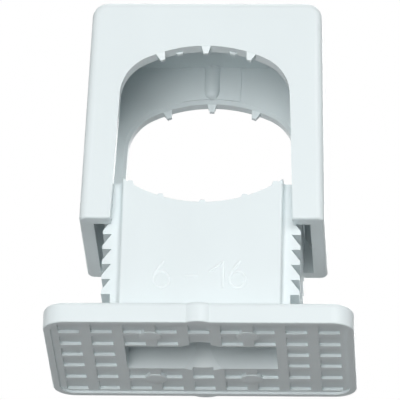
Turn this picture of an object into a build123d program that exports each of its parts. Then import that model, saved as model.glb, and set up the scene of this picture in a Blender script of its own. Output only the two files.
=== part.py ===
"""Two-piece ratchet cable clamp, in millimetres.

The clamp yoke slides down over the toothed saddle of the base and holds a cable between its arch and the
saddle. The model stands on its foot plate: the origin is on the screw axis in the plane of the foot's rim,
+Z is up, X runs along the foot plate and the cable lies along Y. The yoke is drawn fully open.
"""

from build123d import *
import math
import os

# Foot plate
foot_length = 30.5
foot_depth = 18.8
foot_thickness = 2.2
foot_corner_radius = 2.2
foot_top_round = 0.5
foot_rim_round = 0.15
rim_width = 0.7
rim_height = 0.25
nub_width = 2.3
nub_projection = 0.35

# Waffle pockets in the underside
pocket_columns = 9
pocket_rib = 1.1
pocket_depth = 0.3
row_rib = 0.75
inner_row_depth = 1.95
end_margin = 0.7
edge_margin = 0.475
ejector_radius = 1.08
ejector_column = 1.5
ejector_offset = 0.125

# Slot and screw hole
slot_length = 15.0
slot_width = 5.5
slot_height = 6.0
bore_mouth_radius = 3.35
bore_radius = 2.85
bore_flare_height = 2.4
screw_hole_radius = 2.4
screw_seat_thickness = 2.5
screw_head_radius = 4.5

# Saddle block with its racks
saddle_width = 16.0
saddle_step = 0.9
saddle_corner_height = 16.8
saddle_arc_radius = 13.7
saddle_edge_round = 0.25
saddle_cove_radius = 0.4
rack_column_width = 0.9
rack_top_drop = 0.25
tooth_projection = 0.9
tooth_pitch = 1.62
tooth_land = 0.4
tooth_count = 7
first_tooth_height = 4.6

# Clamp yoke
yoke_draft = 0.65
yoke_depth = 14.7
yoke_height = 24.0
leg_end_height = 12.1
top_corner_radius = 1.6
yoke_edge_round = 0.8
leg_end_round = 0.25
plate_thickness = 1.45
side_wall = 1.4
top_wall = 1.05
crown_height = 5.0
leg_strip_width = 3.1
shoulder_strip_width = 3.0
arch_radius = 13.6
arch_shoulder_radius = 4.5
arch_inner_chamfer = 0.35
core_panel_half_width = 2.95
core_panel_projection = 0.15
centre_rib_radius = 0.75
centre_rib_length = 2.9

# Gripping nibs
nib_width = 1.05
nib_tip_width = 0.45
nib_length = 0.85
nib_tip_length = 0.45
nib_height = 0.76
saddle_nib_height = 0.36
arch_nib_spacing = 4.55
saddle_nib_spacing = 4.2
low_nib_spacing = 2.7
low_nib_length = 0.5
low_nib_height = 0.2
nib_root_sink = 0.15

# Pawls inside the legs
pawl_count = 2
pawl_length = 6.0
pawl_start = 1.2
pawl_root_sink = 0.4

# Running clearances
rack_plate_clearance = 0.2
rack_wall_clearance = 0.95
pawl_tip_clearance = 0.17

# How near an edge must lie to a named position to be picked for rounding
match_tolerance = 0.01

# Values that follow from the sizes above
pocket_span = (foot_length - 2 * (rim_width + end_margin) + pocket_rib) / pocket_columns
pocket_width = pocket_span - pocket_rib
outer_row_depth = (foot_depth / 2 - rim_width - edge_margin - inner_row_depth - 2.5 * row_rib) / 2
rib_face_height = rim_height
screw_seat_height = slot_height + screw_seat_thickness
cavity_half_depth = yoke_depth / 2 - plate_thickness
rack_half_depth = cavity_half_depth - rack_plate_clearance
saddle_half_width = saddle_width / 2
saddle_half_depth = rack_half_depth + saddle_step
saddle_arc_centre = saddle_corner_height + math.sqrt(saddle_arc_radius**2 - saddle_half_width**2)
saddle_arc_bottom = saddle_arc_centre - saddle_arc_radius
rack_root_half_width = saddle_half_width + rack_column_width
rack_tip_half_width = rack_root_half_width + tooth_projection
rack_top_height = saddle_corner_height - rack_top_drop
yoke_top_height = leg_end_height + yoke_height
yoke_leg_width = 2 * (rack_tip_half_width + rack_wall_clearance + side_wall)
yoke_top_width = yoke_leg_width - 2 * yoke_draft
ceiling_height = yoke_top_height - top_wall
arch_top_height = yoke_top_height - crown_height
arch_centre_height = arch_top_height - arch_radius
arch_leg_width = yoke_leg_width - 2 * leg_strip_width
arch_shoulder_width = yoke_top_width - 2 * shoulder_strip_width


def yoke_half_width(height):
    """Half the outer width of the drafted yoke at a height."""
    share = (height - leg_end_height) / (yoke_top_height - leg_end_height)
    return (yoke_leg_width + (yoke_top_width - yoke_leg_width) * share) / 2


def saddle_arc_height(x):
    """Height of the saddle's concave top at a distance from the middle."""
    return saddle_arc_centre - math.sqrt(saddle_arc_radius**2 - x**2)


def arch_height(x):
    """Height of the arch's crown at a distance from the middle."""
    return arch_centre_height + math.sqrt(arch_radius**2 - x**2)


def is_at(edge, x, y):
    """True for an upright edge that stands at plus or minus x and plus or minus y."""
    middle = edge.center()
    return abs(abs(middle.X) - x) < match_tolerance and abs(abs(middle.Y) - y) < match_tolerance


# Foot plate: rounded plate with a nub at the middle of its front and rear edges
nub_radius = (nub_width**2 / 4 + nub_projection**2) / (2 * nub_projection)
nub_centre = foot_depth / 2 + nub_projection - nub_radius

with BuildPart() as base_saddle:
    with BuildSketch(Plane.XY):
        RectangleRounded(foot_length, foot_depth, foot_corner_radius)
        with Locations((0, nub_centre), (0, -nub_centre)):
            Circle(nub_radius)
    extrude(amount=foot_thickness)
    fillet(base_saddle.faces().sort_by(Axis.Z)[-1].edges(), foot_top_round)
    fillet(base_saddle.faces().sort_by(Axis.Z)[0].edges(), foot_rim_round)

    # Sunk underside inside the rim
    sunk_length = foot_length - 2 * rim_width
    sunk_depth = foot_depth - 2 * rim_width
    with BuildSketch(Plane.XY):
        RectangleRounded(sunk_length, sunk_depth, foot_corner_radius - rim_width)
    extrude(amount=rim_height, mode=Mode.SUBTRACT)

    # Waffle pockets: three rows on each side of the middle, the inner rows broken by the slot
    columns = [(column - (pocket_columns - 1) / 2) * pocket_span for column in range(pocket_columns)]
    rows = ((inner_row_depth, slot_length), (outer_row_depth, 0), (outer_row_depth, 0))
    with BuildSketch(Plane.XY.offset(rib_face_height)):
        row_start = row_rib / 2
        for row_depth, clear_width in rows:
            row_centre = row_start + row_depth / 2
            row_start += row_depth + row_rib
            row_columns = [x for x in columns if abs(x) >= clear_width / 2]
            with Locations([(x, side * row_centre) for x in row_columns for side in (-1, 1)]):
                Rectangle(pocket_width, row_depth)
    extrude(amount=pocket_depth, mode=Mode.SUBTRACT)

    # Ejector marks, flush with the ribs
    ejector_x = ejector_column * pocket_span
    ejector_y = inner_row_depth + outer_row_depth + 1.5 * row_rib + ejector_offset
    with BuildSketch(Plane.XY.offset(rib_face_height)):
        with GridLocations(2 * ejector_x, 2 * ejector_y, 2, 2):
            Circle(ejector_radius)
    extrude(amount=pocket_depth)

    # Racks: a plain column on each side with teeth that slope down and outwards to a flat underside
    with BuildSketch(Plane.XZ):
        with BuildLine():
            Polyline(
                (0, foot_thickness),
                (rack_root_half_width, foot_thickness),
                (rack_root_half_width, rack_top_height),
                (0, rack_top_height),
                close=True,
            )
        make_face()
        for tooth in range(tooth_count):
            underside = first_tooth_height + tooth * tooth_pitch
            with BuildLine():
                Polyline(
                    (rack_root_half_width - tooth_projection, underside),
                    (rack_tip_half_width, underside),
                    (rack_tip_half_width, underside + tooth_land),
                    (rack_root_half_width, underside + tooth_pitch),
                    (rack_root_half_width - tooth_projection, underside + tooth_pitch),
                    close=True,
                )
            make_face()
        mirror(about=Plane.YZ)
    extrude(amount=rack_half_depth, both=True)

    # Saddle block, proud of the racks
    with BuildSketch(Plane.XY.offset(foot_thickness)):
        Rectangle(saddle_width, 2 * saddle_half_depth)
    extrude(amount=saddle_corner_height - foot_thickness)

    # Rounded corners on the block, and a cove where it stands proud of the racks
    upright_edges = base_saddle.edges().filter_by(Axis.Z)
    block_corners = upright_edges.filter_by(lambda edge: is_at(edge, saddle_half_width, saddle_half_depth))
    inner_corners = upright_edges.filter_by(lambda edge: is_at(edge, saddle_half_width, rack_half_depth))
    fillet(block_corners, saddle_edge_round)
    fillet(inner_corners, saddle_cove_radius)

    # Concave top of the saddle
    with BuildSketch(Plane.XZ):
        with BuildLine():
            ThreePointArc(
                (-saddle_half_width, saddle_corner_height),
                (0, saddle_arc_bottom),
                (saddle_half_width, saddle_corner_height),
            )
            Line((saddle_half_width, saddle_corner_height), (-saddle_half_width, saddle_corner_height))
        make_face()
    extrude(amount=saddle_half_depth, both=True, mode=Mode.SUBTRACT)

    # Gripping nibs on the front and rear edges of the saddle
    end_nib = saddle_half_width - saddle_edge_round - nib_width / 2
    nib_edge_y = saddle_half_depth - saddle_edge_round
    for x in (-end_nib, -saddle_nib_spacing, 0, saddle_nib_spacing, end_nib):
        root_height = saddle_arc_height(max(abs(x) - nib_width / 2, 0)) - nib_root_sink
        tip_height = saddle_arc_height(x) + saddle_nib_height
        for side in (-1, 1):
            root_y = side * (nib_edge_y - nib_length / 2)
            tip_y = side * (nib_edge_y - nib_tip_length / 2)
            with BuildSketch(Plane.XY.offset(root_height)):
                with Locations((x, root_y)):
                    Rectangle(nib_width, nib_length)
            with BuildSketch(Plane.XY.offset(tip_height)):
                with Locations((x, tip_y)):
                    Rectangle(nib_tip_width, nib_tip_length)
            loft()

    # Slot, flared bore, screw hole and the well for the screw's head
    with BuildSketch(Plane.XY):
        Rectangle(slot_length, slot_width)
    extrude(amount=slot_height, mode=Mode.SUBTRACT)
    with BuildSketch(Plane.XZ):
        with BuildLine():
            Line((0, rib_face_height), (bore_mouth_radius, rib_face_height))
            TangentArc(
                (bore_radius, bore_flare_height),
                (bore_mouth_radius, rib_face_height),
                tangent=(0, -1),
            )
            Line((bore_radius, bore_flare_height), (bore_radius, slot_height))
            Line((bore_radius, slot_height), (0, slot_height))
            Line((0, slot_height), (0, rib_face_height))
        make_face()
    revolve(axis=Axis.Z, mode=Mode.SUBTRACT)
    with BuildSketch(Plane.XY):
        Circle(screw_hole_radius)
    extrude(amount=saddle_corner_height, mode=Mode.SUBTRACT)
    with BuildSketch(Plane.XY.offset(screw_seat_height)):
        Circle(screw_head_radius)
    extrude(amount=saddle_corner_height, mode=Mode.SUBTRACT)

base_saddle.part.label = "base_saddle"


# Clamp yoke: drafted box with rounded upper corners, open below
def arch_outline():
    """Closed outline of the cable arch, from below the leg ends to the crown."""
    shoulder_centre_x = arch_shoulder_width / 2 - arch_shoulder_radius
    shoulder_centre_z = arch_centre_height + math.sqrt(
        (arch_radius - arch_shoulder_radius) ** 2 - shoulder_centre_x**2
    )
    turn = arch_radius / (arch_radius - arch_shoulder_radius)
    crown_x = shoulder_centre_x * turn
    crown_z = arch_centre_height + (shoulder_centre_z - arch_centre_height) * turn
    half_turn = math.atan2(shoulder_centre_z - arch_centre_height, shoulder_centre_x) / 2
    middle_x = shoulder_centre_x + arch_shoulder_radius * math.cos(half_turn)
    middle_z = shoulder_centre_z + arch_shoulder_radius * math.sin(half_turn)
    side_x = arch_shoulder_width / 2
    leg_x = arch_leg_width / 2
    with BuildLine() as outline:
        ThreePointArc((-crown_x, crown_z), (0, arch_top_height), (crown_x, crown_z))
        ThreePointArc((crown_x, crown_z), (middle_x, middle_z), (side_x, shoulder_centre_z))
        Line((side_x, shoulder_centre_z), (leg_x, leg_end_height))
        Line((leg_x, leg_end_height), (-leg_x, leg_end_height))
        Line((-leg_x, leg_end_height), (-side_x, shoulder_centre_z))
        ThreePointArc((-side_x, shoulder_centre_z), (-middle_x, middle_z), (-crown_x, crown_z))
    return outline.line


def arch_nib(x, y, length, tip_length, tip_width, height):
    """Tapered nib that stands on the arch's crown and points at the middle of its circle."""
    inward = Vector(-x, 0, arch_centre_height - arch_height(x)).normalized()
    root = Plane(origin=Vector(x, y, arch_height(x)) - inward * nib_root_sink, x_dir=(0, 1, 0), z_dir=inward)
    with BuildPart(mode=Mode.PRIVATE) as nib:
        with BuildSketch(root):
            Rectangle(length, nib_width)
        with BuildSketch(root.offset(nib_root_sink + height)):
            Rectangle(tip_length, tip_width)
        loft()
    return nib.part


with BuildPart() as clamp_yoke:
    with BuildSketch(Plane.XZ):
        with BuildLine():
            Polyline(
                (-yoke_leg_width / 2, leg_end_height),
                (yoke_leg_width / 2, leg_end_height),
                (yoke_top_width / 2, yoke_top_height),
                (-yoke_top_width / 2, yoke_top_height),
                close=True,
            )
        outer_face = make_face()
        fillet(outer_face.vertices().group_by(Axis.Y)[-1], top_corner_radius)
    extrude(amount=yoke_depth / 2, both=True)
    outline_edges = clamp_yoke.faces().filter_by(Axis.Y).edges()
    outline_edges = outline_edges.filter_by(lambda edge: edge.center().Z > leg_end_height + leg_end_round)
    fillet(outline_edges, yoke_edge_round)
    fillet(clamp_yoke.faces().sort_by(Axis.Z)[0].edges(), leg_end_round)

    # Cavity between the front and rear plates, open at the leg ends
    cavity_top = yoke_half_width(ceiling_height) - side_wall
    cavity_mouth = yoke_half_width(leg_end_height) - side_wall
    with BuildSketch(Plane.XZ):
        with BuildLine():
            Polyline(
                (-cavity_mouth, leg_end_height),
                (cavity_mouth, leg_end_height),
                (cavity_top, ceiling_height),
                (-cavity_top, ceiling_height),
                close=True,
            )
        make_face()
    extrude(amount=cavity_half_depth, both=True, mode=Mode.SUBTRACT)

    # Arch through both plates, with a chamfer on the inner edge of the rear one
    with BuildSketch(Plane.XZ):
        add(arch_outline())
        make_face()
    extrude(amount=yoke_depth / 2, both=True, mode=Mode.SUBTRACT)
    rear_inner_edges = clamp_yoke.edges().filter_by(
        lambda edge: abs(edge.center().Y - cavity_half_depth) < match_tolerance
        and abs(edge.center().X) < arch_leg_width / 2
        and leg_end_height < edge.center().Z <= arch_top_height
    )
    chamfer(rear_inner_edges, arch_inner_chamfer)

    # Shallow raised panel that the mould's core leaves above the rear arch
    panel_radius = arch_radius + arch_inner_chamfer
    panel_corner_height = arch_centre_height + math.sqrt(panel_radius**2 - core_panel_half_width**2)
    with BuildSketch(Plane.XZ.offset(-cavity_half_depth)):
        with BuildLine():
            ThreePointArc(
                (-core_panel_half_width, panel_corner_height),
                (0, arch_centre_height + panel_radius),
                (core_panel_half_width, panel_corner_height),
            )
            Line((core_panel_half_width, panel_corner_height), (core_panel_half_width, ceiling_height))
            Line((core_panel_half_width, ceiling_height), (-core_panel_half_width, ceiling_height))
            Line((-core_panel_half_width, ceiling_height), (-core_panel_half_width, panel_corner_height))
        make_face()
    extrude(amount=core_panel_projection)

    # Gripping nibs: three on each arch and two low ones behind the front arch
    front_nib_y = (nib_length - yoke_depth) / 2
    rear_nib_y = cavity_half_depth + arch_inner_chamfer + nib_length / 2
    low_nib_y = -cavity_half_depth - low_nib_length / 2
    for x in (-arch_nib_spacing, 0, arch_nib_spacing):
        for y in (front_nib_y, rear_nib_y):
            add(arch_nib(x, y, nib_length, nib_tip_length, nib_tip_width, nib_height))
    for x in (-low_nib_spacing, low_nib_spacing):
        add(arch_nib(x, low_nib_y, low_nib_length, low_nib_length, nib_tip_width, low_nib_height))

    # Half-round rib on the rear plate's inner face, with a rounded lower end
    rib_end_height = ceiling_height - centre_rib_length
    with BuildSketch(Plane.XY.offset(rib_end_height)):
        with Locations((0, cavity_half_depth)):
            Circle(centre_rib_radius)
    extrude(amount=centre_rib_length)
    with Locations((0, cavity_half_depth, rib_end_height)):
        Sphere(centre_rib_radius)

    # Pawls: flat above and sloped below, on the inside of the side walls
    pawl_tip = rack_tip_half_width + pawl_tip_clearance
    with BuildSketch(Plane.XZ):
        for pawl in range(pawl_count):
            lower_end = leg_end_height + pawl_start + pawl * tooth_pitch
            pawl_root = yoke_half_width(lower_end) - side_wall + pawl_root_sink
            with BuildLine():
                Polyline(
                    (pawl_root, lower_end),
                    (pawl_root - pawl_root_sink, lower_end),
                    (pawl_tip, lower_end + tooth_pitch - tooth_land),
                    (pawl_tip, lower_end + tooth_pitch),
                    (pawl_root, lower_end + tooth_pitch),
                    close=True,
                )
            make_face()
        mirror(about=Plane.YZ)
    extrude(amount=pawl_length / 2, both=True)

clamp_yoke.part.label = "clamp_yoke"

os.makedirs("parts", exist_ok=True)
export_step(base_saddle.part, "parts/base_saddle.step")
export_step(clamp_yoke.part, "parts/clamp_yoke.step")
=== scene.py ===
import math

import bpy
from mathutils import Matrix, Vector


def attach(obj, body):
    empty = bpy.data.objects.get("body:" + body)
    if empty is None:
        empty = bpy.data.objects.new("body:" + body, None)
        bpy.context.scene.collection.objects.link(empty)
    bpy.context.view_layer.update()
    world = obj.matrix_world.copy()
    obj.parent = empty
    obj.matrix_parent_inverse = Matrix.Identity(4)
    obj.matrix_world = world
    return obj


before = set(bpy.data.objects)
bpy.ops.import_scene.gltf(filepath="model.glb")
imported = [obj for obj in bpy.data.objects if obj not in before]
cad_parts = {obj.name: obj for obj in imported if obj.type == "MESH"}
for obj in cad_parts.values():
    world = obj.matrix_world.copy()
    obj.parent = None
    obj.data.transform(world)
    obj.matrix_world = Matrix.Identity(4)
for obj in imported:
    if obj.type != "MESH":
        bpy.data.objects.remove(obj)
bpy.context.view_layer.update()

# Lengths below are in millimetres, times MM where they are used as metres, unless a comment says otherwise
MM = 0.001

# Camera, worked out from the photograph: it looks up at the foot's underside from the front
CAMERA_LENS = 495.0
CAMERA_SENSOR = 36.0
CAMERA_BELOW = math.radians(24.5875)
CAMERA_TO_RIGHT = math.radians(3.32)
CAMERA_ROLL = math.radians(1.6113)
CAMERA_SHIFT = Vector((0.148, 15.859, 545.0067)) * MM
CLIP_START, CLIP_END = 10.0 * MM, 10000.0 * MM

# Moulded digits on the saddle's front face; points are (x, z), those of a 6 from its bowl's centre
SADDLE_FACE_Y = -6.6
STROKE_RADIUS = 0.19
STROKE_SINK = 0.11
BOWL_WIDTH, BOWL_HEIGHT = 1.62, 1.78
BOWL_POINTS = 12
SIX_STEM = [(-0.78, 0.12), (-0.74, 0.55), (-0.42, 1.15), (-0.05, 1.65), (0.22, 2.0)]
SIX_CENTRES = [(-3.82, 5.83), (3.7, 5.85)]
DASH = [(-1.5, 6.2), (-0.22, 6.2)]
ONE_UPRIGHT = [(2.28, 4.97), (2.28, 7.72)]
ONE_FLAG = [(0.88, 6.66), (2.28, 7.78)]
BEVEL_STEPS = 4
SPLINE_STEPS = 10
SPLINE_ORDER = 4

# Ejector marks under the foot; the profile is (radius, z)
EJECTOR_X = 4.8
EJECTOR_Y = 5.4
EJECTOR_PROFILE = [(0.0, 0.15), (0.98, 0.15), (1.05, 0.165), (1.09, 0.2), (1.1, 0.27), (0.0, 0.27)]
DISC_SEGMENTS = 48
DISC_SHARP_ANGLE = math.radians(30)

# Rib on the yoke's rear wall
RIB_RADIUS = 0.8
RIB_BACK_Y = 5.95
RIB_TOP = 35.1
RIB_END = 32.13
RIB_END_ROUND = 0.3
RIB_SEGMENTS = 24
RIB_ROUND_STEPS = 8
RIB_SHARP_ANGLE = math.radians(40)

# Plastic; the noise scales are per metre
PLASTIC_COLOUR = (0.765, 0.835, 0.85)
# Digits: lighter than the plastic, a painted highlight standing in for the bright gloss on the raised
# strokes
DIGIT_HIGHLIGHT_COLOUR = (0.82, 0.885, 0.9)
FLOW_NOISE = {"Scale": 140.0, "Detail": 2.0, "Roughness": 0.5}
FLOW_STRETCH = 0.35
FLOW_RANGE = (0.3, 0.7)
FLOW_DARKENING = 0.975
GRAIN_NOISE = {"Scale": 5200.0, "Detail": 3.0, "Roughness": 0.6}
GRAIN_DEPTH = 0.02 * MM
GRAIN_STRENGTH = 0.12
ROUGHNESS_RANGE = (0.34, 0.46)
SPECULAR_LEVEL = 0.42

# Lamps: name, azimuth and elevation in degrees, distance and size in metres, power in watts
CENTRE = Vector((0.0, 0.0, 18.0)) * MM
LAMPS = [
    ("key", -7.0, -14.0, 0.6, 0.36, 2.08),
    ("upper", 22.0, 13.0, 0.6, 0.3, 1.4),
    ("left", -22.0, 8.0, 0.6, 0.25, 0.22),
    ("low_left", -24.0, -36.0, 0.6, 0.25, 0.12),
    ("right_side", 90.0, 6.0, 0.6, 0.4, 0.55),
    ("left_side", -90.0, 6.0, 0.6, 0.4, 0.6),
    ("bottom", 0.0, -80.0, 0.6, 0.4, 0.38),
    ("back_low", 180.0, -35.0, 0.6, 0.4, 0.14),
    ("back", 180.0, 12.0, 0.6, 0.4, 1.5),
    ("back_high", 180.0, 42.0, 0.6, 0.4, 1.0),
    ("top", 180.0, 85.0, 0.6, 0.4, 0.8),
]

# World and floor
WHITE = (1.0, 1.0, 1.0, 1.0)
FLOOR_COLOUR = (0.85, 0.85, 0.85, 1.0)
WORLD_LIGHT = 0.03
FLOOR_GLOW = 0.4
FLOOR_HALF = 1500.0
FLOOR_DROP = 0.02


def linked(name, data):
    """A new object in the scene."""
    made = bpy.data.objects.new(name, data)
    bpy.context.scene.collection.objects.link(made)
    return made


def node(tree, kind, x, y, **values):
    """A shader node with its inputs and properties set by name."""
    made = tree.nodes.new(kind)
    made.location = (x, y)
    for name, value in values.items():
        if name in made.inputs:
            made.inputs[name].default_value = value
        else:
            setattr(made, name, value)
    return made


def empty_tree(owner):
    """The cleared node tree of a material or world."""
    owner.use_nodes = True
    owner.node_tree.nodes.clear()
    return owner.node_tree


def plastic(name, colour):
    """Light grey moulded plastic: a fine satin grain, faint flow marks and a slightly uneven sheen."""
    material = bpy.data.materials.new(name)
    tree = empty_tree(material)
    out = node(tree, "ShaderNodeOutputMaterial", 900, 0)
    shader = node(tree, "ShaderNodeBsdfPrincipled", 600, 0)
    shader.inputs["Specular IOR Level"].default_value = SPECULAR_LEVEL
    place = node(tree, "ShaderNodeTexCoord", -900, 0)

    grain = node(tree, "ShaderNodeTexNoise", -600, -300, **GRAIN_NOISE)
    flow = node(tree, "ShaderNodeTexNoise", -600, 200, **FLOW_NOISE)
    stretch = node(tree, "ShaderNodeMapping", -760, 200, Scale=(1.0, 1.0, FLOW_STRETCH))
    tree.links.new(place.outputs["Object"], grain.inputs["Vector"])
    tree.links.new(place.outputs["Object"], stretch.inputs["Vector"])
    tree.links.new(stretch.outputs["Vector"], flow.inputs["Vector"])

    tint = node(tree, "ShaderNodeValToRGB", -300, 200)
    low, high = tint.color_ramp.elements
    low.position, high.position = FLOW_RANGE
    low.color = tuple(channel * FLOW_DARKENING for channel in colour) + (1.0,)
    high.color = colour + (1.0,)
    tree.links.new(flow.outputs["Fac"], tint.inputs["Fac"])
    tree.links.new(tint.outputs["Color"], shader.inputs["Base Color"])

    sheen = node(tree, "ShaderNodeMapRange", -300, -60)
    sheen.inputs["To Min"].default_value, sheen.inputs["To Max"].default_value = ROUGHNESS_RANGE
    tree.links.new(grain.outputs["Fac"], sheen.inputs["Value"])
    tree.links.new(sheen.outputs["Result"], shader.inputs["Roughness"])

    bump = node(tree, "ShaderNodeBump", 200, -300, Strength=GRAIN_STRENGTH, Distance=GRAIN_DEPTH)
    tree.links.new(grain.outputs["Fac"], bump.inputs["Height"])
    tree.links.new(bump.outputs["Normal"], shader.inputs["Normal"])
    tree.links.new(shader.outputs["BSDF"], out.inputs["Surface"])
    return material


def stroke(points, closed=False):
    """One round moulded stroke along its points, as a smooth spline on the saddle's face."""
    curve = bpy.data.curves.new("stroke", "CURVE")
    curve.dimensions = "3D"
    curve.bevel_depth = STROKE_RADIUS * MM
    curve.bevel_resolution = BEVEL_STEPS
    curve.resolution_u = SPLINE_STEPS
    curve.use_fill_caps = True
    spline = curve.splines.new("NURBS")
    spline.points.add(len(points) - 1)
    for control, (x, z) in zip(spline.points, points):
        control.co = (x * MM, (SADDLE_FACE_Y + STROKE_SINK) * MM, z * MM, 1.0)
    spline.order_u = min(SPLINE_ORDER, len(points))
    spline.use_endpoint_u = not closed
    spline.use_cyclic_u = closed
    return linked("stroke", curve)


def six(x, z):
    """The strokes of a 6 whose bowl is centred at x, z."""
    bowl = []
    for step in range(BOWL_POINTS):
        turn = 2 * math.pi * step / BOWL_POINTS
        bowl.append((x + BOWL_WIDTH / 2 * math.cos(turn), z + BOWL_HEIGHT / 2 * math.sin(turn)))
    stem = [(x + across, z + up) for across, up in SIX_STEM]
    return [stroke(bowl, closed=True), stroke(stem)]


def join_as(name, pieces):
    """The pieces as one mesh object."""
    vertices, faces = [], []
    bpy.context.view_layer.update()
    graph = bpy.context.evaluated_depsgraph_get()
    for piece in pieces:
        mesh = bpy.data.meshes.new_from_object(piece.evaluated_get(graph))
        start = len(vertices)
        vertices.extend(vertex.co.copy() for vertex in mesh.vertices)
        faces.extend([start + index for index in polygon.vertices] for polygon in mesh.polygons)
        bpy.data.meshes.remove(mesh)
    for piece in pieces:
        bpy.data.objects.remove(piece)
    mesh = bpy.data.meshes.new(name)
    mesh.from_pydata(vertices, [], faces)
    mesh.validate()
    mesh.shade_smooth()
    return linked(name, mesh)


def mesh_object(name, vertices, faces, sharp_angle):
    """A mesh object that is smooth except where its faces meet at more than an angle."""
    mesh = bpy.data.meshes.new(name)
    mesh.from_pydata([Vector(point) * MM for point in vertices], [], faces)
    mesh.validate()
    mesh.shade_smooth()
    mesh.set_sharp_from_angle(angle=sharp_angle)
    return linked(name, mesh)


def turned_disc(name, x, y, profile):
    """A disc turned from a profile whose ends lie on its axis."""
    count = DISC_SEGMENTS
    bottom, *rings, top = profile
    vertices = [(x, y, bottom[1])]
    for radius, z in rings:
        for step in range(count):
            turn = 2 * math.pi * step / count
            vertices.append((x + radius * math.cos(turn), y + radius * math.sin(turn), z))
    vertices.append((x, y, top[1]))
    last = 1 + (len(rings) - 1) * count
    faces = []
    for step in range(count):
        after = (step + 1) % count
        faces.append((0, 1 + after, 1 + step))
        for level in range(len(rings) - 1):
            row = 1 + level * count
            faces.append((row + step, row + after, row + count + after, row + count + step))
        faces.append((last + step, last + after, len(vertices) - 1))
    return mesh_object(name, vertices, faces, DISC_SHARP_ANGLE)


def centre_rib(name):
    """Half-round rib that stands on the yoke's rear wall and ends in a rounded, flat tip."""
    levels = [(RIB_TOP, RIB_RADIUS)]
    for step in range(RIB_ROUND_STEPS + 1):
        turn = math.pi / 2 * step / RIB_ROUND_STEPS
        inset = RIB_END_ROUND * (1 - math.cos(turn))
        levels.append((RIB_END + RIB_END_ROUND * (1 - math.sin(turn)), RIB_RADIUS - inset))
    row_length = RIB_SEGMENTS + 1
    vertices = []
    for z, radius in levels:
        for step in range(row_length):
            turn = math.pi * step / RIB_SEGMENTS
            vertices.append((radius * math.cos(turn), RIB_BACK_Y - radius * math.sin(turn), z))
    faces = []
    for level in range(len(levels) - 1):
        row = level * row_length
        below = row + row_length
        for step in range(RIB_SEGMENTS):
            faces.append((row + step, row + step + 1, below + step + 1, below + step))
        faces.append((row, below, below + RIB_SEGMENTS, row + RIB_SEGMENTS))
    faces.append(tuple(reversed(range(row_length))))
    faces.append(tuple(range(len(vertices) - row_length, len(vertices))))
    return mesh_object(name, vertices, faces, RIB_SHARP_ANGLE)


def plain_view(tree):
    """1 for the rays that show the background as it is written: camera, glossy and transmission rays."""
    ray = node(tree, "ShaderNodeLightPath", -700, 0)
    mirrored = node(tree, "ShaderNodeMath", -500, 0, operation="MAXIMUM")
    any_view = node(tree, "ShaderNodeMath", -300, 0, operation="MAXIMUM")
    tree.links.new(ray.outputs["Is Camera Ray"], mirrored.inputs[0])
    tree.links.new(ray.outputs["Is Glossy Ray"], mirrored.inputs[1])
    tree.links.new(mirrored.outputs["Value"], any_view.inputs[0])
    tree.links.new(ray.outputs["Is Transmission Ray"], any_view.inputs[1])
    return any_view.outputs["Value"]


# Plastic on both mouldings
for name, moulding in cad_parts.items():
    material = plastic("plastic_" + name, PLASTIC_COLOUR)
    for slot in moulding.material_slots:
        slot.material = material

# Cable range in raised digits: 6 - 16
strokes = []
for x, z in SIX_CENTRES:
    strokes += six(x, z)
for points in (DASH, ONE_UPRIGHT, ONE_FLAG):
    strokes.append(stroke(points))
digits = join_as("cable_range_digits", strokes)
# The digits' lighter colour is a painted highlight on the raised strokes
digits.data.materials.append(plastic("plastic_digits_painted_highlight", DIGIT_HIGHLIGHT_COLOUR))
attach(digits, "base")

# Flat marks of the four ejector pins under the foot, a little proud of its ribs
details = []
for place_x, side_x in (("left", -1), ("right", 1)):
    for place_y, side_y in (("front", -1), ("rear", 1)):
        name = "ejector_mark_" + place_y + "_" + place_x
        mark = turned_disc(name, side_x * EJECTOR_X, side_y * EJECTOR_Y, EJECTOR_PROFILE)
        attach(mark, "base")
        details.append(mark)

# The yoke's rib over the crown of the arch
rib = centre_rib("yoke_centre_rib")
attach(rib, "yoke")
details.append(rib)

detail_plastic = plastic("plastic_details", PLASTIC_COLOUR)
for piece in details:
    piece.data.materials.append(detail_plastic)

# Camera
cos_a, sin_a = math.cos(CAMERA_TO_RIGHT), math.sin(CAMERA_TO_RIGHT)
cos_e, sin_e = math.cos(CAMERA_BELOW), math.sin(CAMERA_BELOW)
cos_r, sin_r = math.cos(CAMERA_ROLL), math.sin(CAMERA_ROLL)
right = Vector((cos_a, sin_a, 0.0))
forward = Vector((-sin_a * cos_e, cos_a * cos_e, sin_e))
down = forward.cross(right)
rolled_right = right * cos_r - down * sin_r
rolled_down = right * sin_r + down * cos_r
to_camera = Matrix((rolled_right, rolled_down, forward))
axes = Matrix((rolled_right, -rolled_down, -forward)).transposed().to_4x4()
camera_data = bpy.data.cameras.new("camera")
camera_data.lens = CAMERA_LENS
camera_data.sensor_width = CAMERA_SENSOR
camera_data.clip_start = CLIP_START
camera_data.clip_end = CLIP_END
camera = linked("camera", camera_data)
camera.matrix_world = Matrix.Translation(-(to_camera.transposed() @ CAMERA_SHIFT)) @ axes
bpy.context.scene.camera = camera

# Lamps
for name, azimuth, elevation, distance, size, power in LAMPS:
    a, e = math.radians(azimuth), math.radians(elevation)
    towards = Vector((math.sin(a) * math.cos(e), -math.cos(a) * math.cos(e), math.sin(e)))
    light = bpy.data.lights.new(name, "AREA")
    light.shape = "DISK"
    light.size = size
    light.energy = power
    lamp = linked(name, light)
    lamp.location = CENTRE + towards * distance
    lamp.rotation_mode = "QUATERNION"
    lamp.rotation_quaternion = towards.to_track_quat("Z", "Y")

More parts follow.
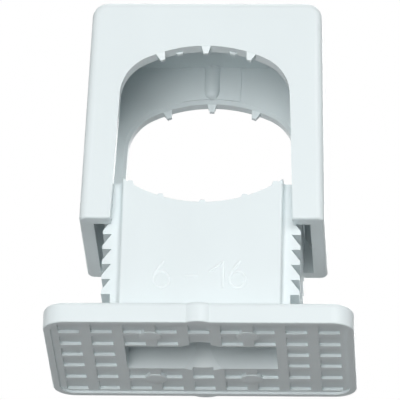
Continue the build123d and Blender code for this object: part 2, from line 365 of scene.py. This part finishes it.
# World: soft light, and plain white where a view looks past the floor
world = bpy.data.worlds.new("world")
bpy.context.scene.world = world
tree = empty_tree(world)
out = node(tree, "ShaderNodeOutputWorld", 600, 0)
soft = node(tree, "ShaderNodeBackground", 0, 100, Color=WHITE, Strength=WORLD_LIGHT)
white = node(tree, "ShaderNodeBackground", 0, -100, Color=WHITE, Strength=1.0)
mix = node(tree, "ShaderNodeMixShader", 300, 0)
tree.links.new(plain_view(tree), mix.inputs["Fac"])
tree.links.new(soft.outputs["Background"], mix.inputs[1])
tree.links.new(white.outputs["Background"], mix.inputs[2])
tree.links.new(mix.outputs["Shader"], out.inputs["Surface"])

# Floor: pale from above, and clear from below, where the photograph's camera stands
corners = [(-1, -1), (1, -1), (1, 1), (-1, 1)]
floor_points = [Vector((x * FLOOR_HALF, y * FLOOR_HALF, -FLOOR_DROP)) * MM for x, y in corners]
mesh = bpy.data.meshes.new("floor")
mesh.from_pydata(floor_points, [], [(0, 1, 2, 3)])
floor = linked("floor", mesh)
material = bpy.data.materials.new("floor")
tree = empty_tree(material)
out = node(tree, "ShaderNodeOutputMaterial", 900, 0)
pale = node(tree, "ShaderNodeBsdfDiffuse", 300, 100, Color=FLOOR_COLOUR)
glow = node(tree, "ShaderNodeEmission", 300, 0, Color=WHITE, Strength=FLOOR_GLOW)
lit = node(tree, "ShaderNodeAddShader", 450, 50)
clear = node(tree, "ShaderNodeBsdfTransparent", 300, -100)
side = node(tree, "ShaderNodeNewGeometry", -300, 300)
upper_side = node(tree, "ShaderNodeMath", 0, 200, operation="SUBTRACT")
upper_side.inputs[0].default_value = 1.0
shown = node(tree, "ShaderNodeMath", 300, 300, operation="MULTIPLY")
mix = node(tree, "ShaderNodeMixShader", 600, 0)
tree.links.new(side.outputs["Backfacing"], upper_side.inputs[1])
tree.links.new(plain_view(tree), shown.inputs[0])
tree.links.new(upper_side.outputs["Value"], shown.inputs[1])
tree.links.new(shown.outputs["Value"], mix.inputs["Fac"])
tree.links.new(clear.outputs["BSDF"], mix.inputs[1])
tree.links.new(pale.outputs["BSDF"], lit.inputs[0])
tree.links.new(glow.outputs["Emission"], lit.inputs[1])
tree.links.new(lit.outputs["Shader"], mix.inputs[2])
tree.links.new(mix.outputs["Shader"], out.inputs["Surface"])
mesh.materials.append(material)

bpy.context.scene.view_settings.view_transform = "Standard"
